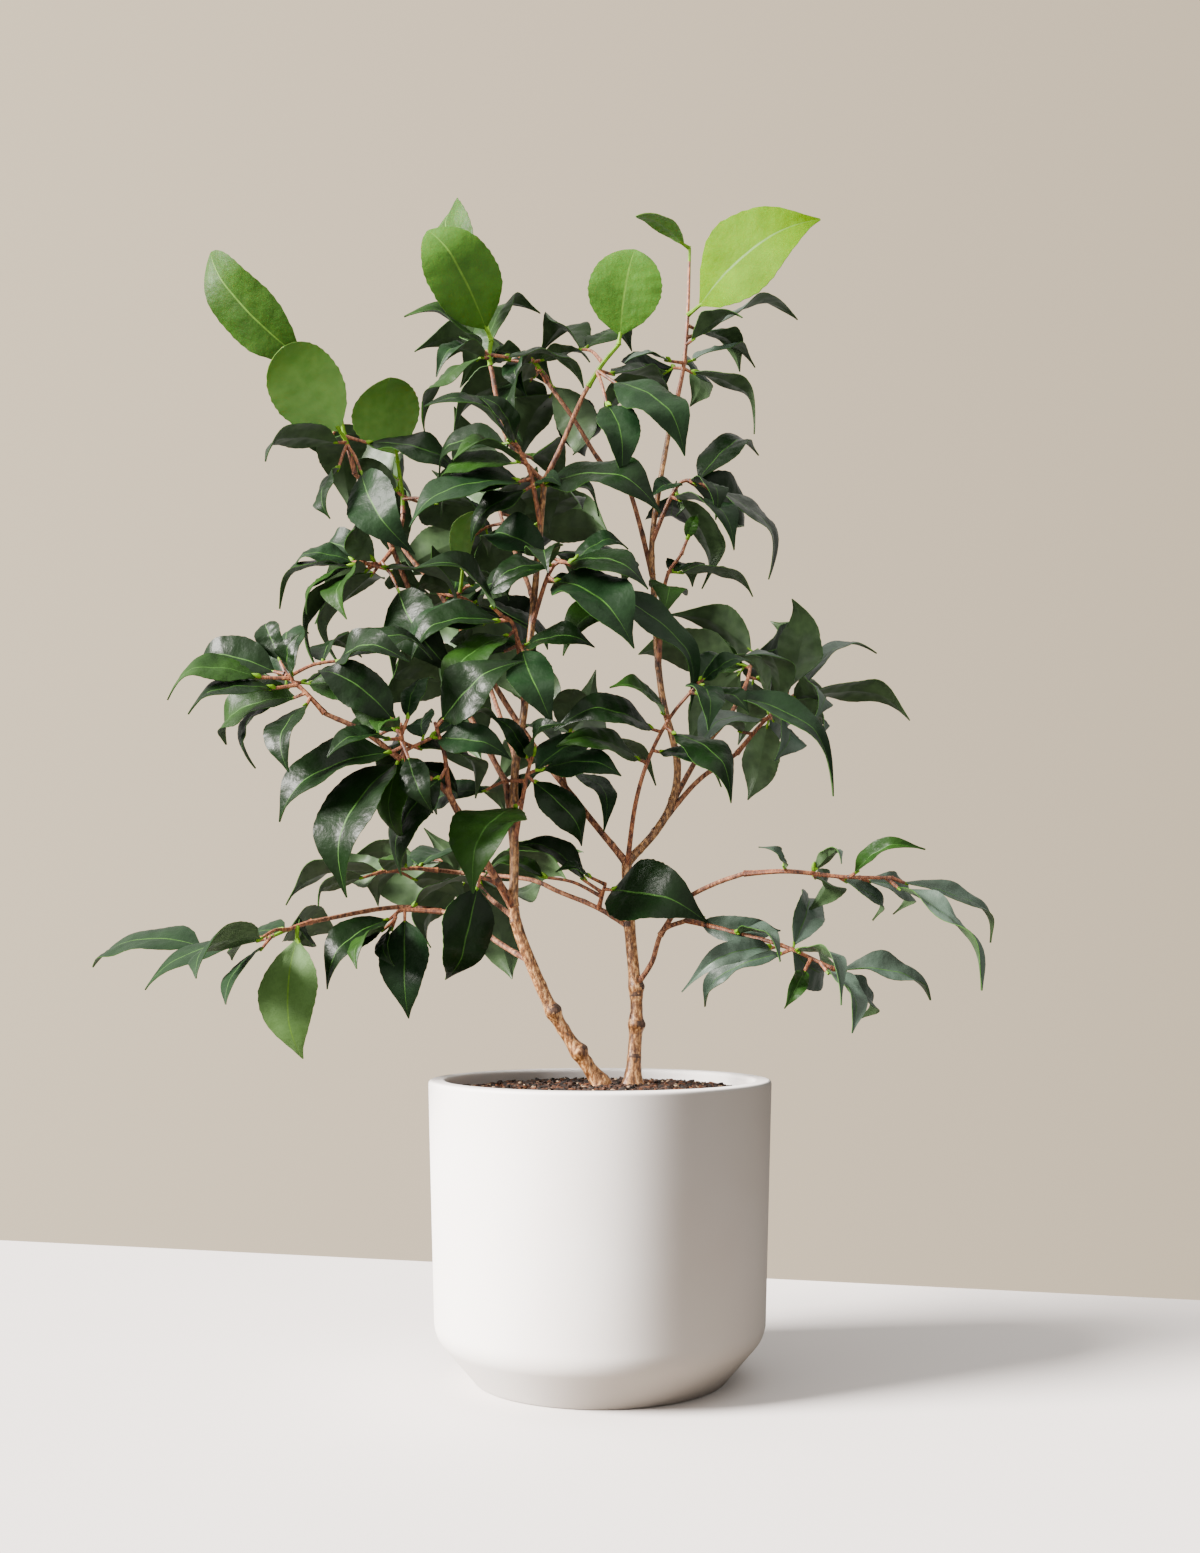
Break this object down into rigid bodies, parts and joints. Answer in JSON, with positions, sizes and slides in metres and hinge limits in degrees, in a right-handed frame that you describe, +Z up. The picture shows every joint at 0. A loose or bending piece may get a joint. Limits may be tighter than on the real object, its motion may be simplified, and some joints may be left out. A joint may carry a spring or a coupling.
{
  "type": "potted camellia shrub",
  "caption": "Camellia shrub in a plain round pot: slender forking stems, open boughs and sprays of glossy pointed leaves, over a straight pot with a chamfered foot.",
  "frame": {"origin": "middle of the pot's flat underside", "axes": "+Z up, -Y to the front, +X to the right as seen from the front"},
  "size_m": [0.682, 0.368, 0.893],
  "materials": {
    "pot": "matt white slip, unglazed look",
    "soil": "loose bark and coir crumbs",
    "old_bark": "tan bark with knots and rings",
    "young_bark": "smooth reddish bark",
    "old_foliage": "glossy dark green leaves",
    "young_foliage": "soft yellow-green young leaves among dark ones"
  },
  "bodies": {
    "root": {"pot": "pot", "soil": "soil", "stem_left": "old_bark", "stem_right": "old_bark", "leader_left": "young_bark", "leader_right": "young_bark", "bough_left": "young_bark", "bough_left_far": "young_bark", "bough_back_left": "young_bark", "bough_cross": "young_bark", "bough_top_left": "young_bark", "bough_top_mid": "young_bark", "bough_heart": "young_bark", "bough_right": "young_bark", "bough_low_right": "young_bark", "bough_arch": "young_bark", "bough_low_left": "young_bark", "bough_inner": "young_bark", "bough_rear_left": "young_bark", "bough_rear_right": "young_bark", "bough_rear_low": "young_bark", "bough_rear_high": "young_bark", "foliage_top_right": "young_foliage", "foliage_top_mid": "young_foliage", "foliage_top_left": "young_foliage", "foliage_heart_top": "old_foliage", "foliage_crown_mid": "old_foliage", "foliage_crown_low": "old_foliage", "foliage_crown_right": "old_foliage", "foliage_stem_right": "old_foliage", "foliage_cross_top": "young_foliage", "foliage_far_left_top": "young_foliage", "foliage_left_upper": "old_foliage", "foliage_cross_mid": "old_foliage", "foliage_left_far": "old_foliage", "foliage_left_near": "old_foliage", "foliage_left_front": "old_foliage", "foliage_leader_mid": "old_foliage", "foliage_leader_low": "old_foliage", "foliage_heart_low": "old_foliage", "foliage_low_left": "young_foliage", "foliage_low_left_near": "old_foliage", "foliage_stem_left": "old_foliage", "foliage_inner_left": "old_foliage", "foliage_front_low": "old_foliage", "foliage_arch": "old_foliage", "foliage_right_low": "old_foliage", "foliage_right_mid": "old_foliage", "foliage_middle": "old_foliage", "foliage_rear_left": "old_foliage", "foliage_rear_right": "old_foliage", "foliage_rear_low": "old_foliage", "foliage_rear_high": "old_foliage"}
  },
  "joints": []
}
